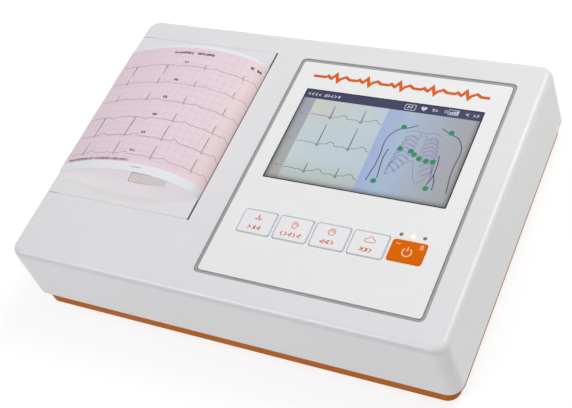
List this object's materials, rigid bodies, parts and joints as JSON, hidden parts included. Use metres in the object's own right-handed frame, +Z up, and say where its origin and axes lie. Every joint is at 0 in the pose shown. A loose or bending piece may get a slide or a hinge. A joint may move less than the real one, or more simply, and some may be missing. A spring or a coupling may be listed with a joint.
{
  "type": "ecg machine",
  "caption": "Flat desktop ECG recorder with a colour display, film keys and a thermal strip printer under a hinged door, paper arched over the door.",
  "frame": {"origin": "under the middle of the case, on the surface that the rubber feet stand on", "axes": "+X to the operator's right, +Y to the back of the case, +Z up"},
  "size_m": [0.269, 0.1888, 0.0664],
  "materials": {
    "case_white": "fine-textured moulded ABS, satin",
    "base_orange": "moulded ABS, satin orange",
    "foot_rubber": "matt black rubber",
    "steel": "plated steel",
    "aluminium": "extruded, satin",
    "brass": "turned brass",
    "seal_grey": "matt grey sealing ring",
    "panel_film": "fine-grained polyester film",
    "key_film": "embossed white film key with a printed outline",
    "display_glass": "hard-coated clear window over the lit display",
    "display_body": "display frame",
    "board_green": "solder-masked circuit board",
    "black_plastic": "moulded black plastic",
    "nylon": "natural acetal",
    "head_ceramic": "glazed thermal print line",
    "chart_paper": "thermal chart paper with a pale red grid",
    "smoked_plastic": "translucent grey plastic",
    "lit_lens": "clear light pipe, lit pale yellow",
    "battery_wrap": "blue shrink wrap"
  },
  "bodies": {
    "case": {"upper_case": "case_white", "paper_bay": "case_white", "lower_case": "base_orange", "battery_cover": "base_orange", "foot_front_left": "foot_rubber", "foot_front_right": "foot_rubber", "foot_rear_left": "foot_rubber", "foot_rear_right": "foot_rubber", "case_screw_front_left": "steel", "case_screw_front_right": "steel", "case_screw_rear_left": "steel", "case_screw_rear_right": "steel", "hinge_pin_front": "steel", "hinge_pin_rear": "steel", "printer_frame": "steel", "head_spring_front": "steel", "head_spring_rear": "steel", "tear_bar": "steel", "usb_socket": "steel", "stepper_motor": "aluminium", "earth_terminal": "brass", "panel_gasket": "seal_grey", "front_panel": "panel_film", "display_window": "display_glass", "lcd_module": "display_body", "keypad_board": "board_green", "main_board": "board_green", "patient_board": "board_green", "key_auto_switch": "black_plastic", "key_manual_switch": "black_plastic", "key_stop_switch": "black_plastic", "key_link_switch": "black_plastic", "key_power_switch": "black_plastic", "speaker": "black_plastic", "patient_connector": "black_plastic", "power_inlet": "black_plastic", "paper_stack": "chart_paper", "paper_feed": "chart_paper", "led_mains": "smoked_plastic", "led_battery": "smoked_plastic", "led_on": "lit_lens", "battery_pack": "battery_wrap"},
    "door": {"printer_door": "case_white", "door_window": "smoked_plastic", "platen_bush_front": "nylon", "platen_bush_rear": "nylon", "paper_strip": "chart_paper"},
    "platen": {"platen_roller": "foot_rubber", "platen_shaft": "steel", "platen_gear": "nylon"},
    "idler": {"idler_gear": "nylon"},
    "motor_rotor": {"motor_pinion": "brass"},
    "head": {"print_head": "head_ceramic", "head_heat_sink": "aluminium"},
    "key_auto": {"key_auto": "key_film"},
    "key_manual": {"key_manual": "key_film"},
    "key_stop": {"key_stop": "key_film"},
    "key_link": {"key_link": "key_film"},
    "key_power": {"key_power": "base_orange"}
  },
  "joints": [
    {"name": "door_hinge", "type": "hinge", "parent": "case", "child": "door", "pos_m": [-0.12913, 0.0145, 0.0242], "axis": [0, -1, 0], "range_deg": [0, 95]},
    {"name": "platen_turn", "type": "hinge", "parent": "door", "child": "platen", "pos_m": [-0.0403, 0.0145, 0.0382], "axis": [0, 1, 0], "continuous": true},
    {"name": "idler_turn", "type": "hinge", "parent": "case", "child": "idler", "pos_m": [-0.0295, 0.0733, 0.02533], "axis": [0, 1, 0], "continuous": true},
    {"name": "motor_turn", "type": "hinge", "parent": "case", "child": "motor_rotor", "pos_m": [-0.01494, 0.0733, 0.02329], "axis": [0, 1, 0], "continuous": true},
    {"name": "head_travel", "type": "slide", "parent": "case", "child": "head", "axis": [1, 0, 0], "range_m": [0, 0.0006], "stiffness_N_per_m": 8000},
    {"name": "key_auto_press", "type": "slide", "parent": "case", "child": "key_auto", "axis": [0, 0, -1], "range_m": [0, 0.0004], "stiffness_N_per_m": 2000},
    {"name": "key_manual_press", "type": "slide", "parent": "case", "child": "key_manual", "axis": [0, 0, -1], "range_m": [0, 0.0004], "stiffness_N_per_m": 2000},
    {"name": "key_stop_press", "type": "slide", "parent": "case", "child": "key_stop", "axis": [0, 0, -1], "range_m": [0, 0.0004], "stiffness_N_per_m": 2000},
    {"name": "key_link_press", "type": "slide", "parent": "case", "child": "key_link", "axis": [0, 0, -1], "range_m": [0, 0.0004], "stiffness_N_per_m": 2000},
    {"name": "key_power_press", "type": "slide", "parent": "case", "child": "key_power", "axis": [0, 0, -1], "range_m": [0, 0.0004], "stiffness_N_per_m": 2000}
  ],
  "couplings": [
    {"joint": "idler_turn", "follows": "platen_turn", "ratio": -0.6},
    {"joint": "motor_turn", "follows": "platen_turn", "ratio": 1.5}
  ]
}
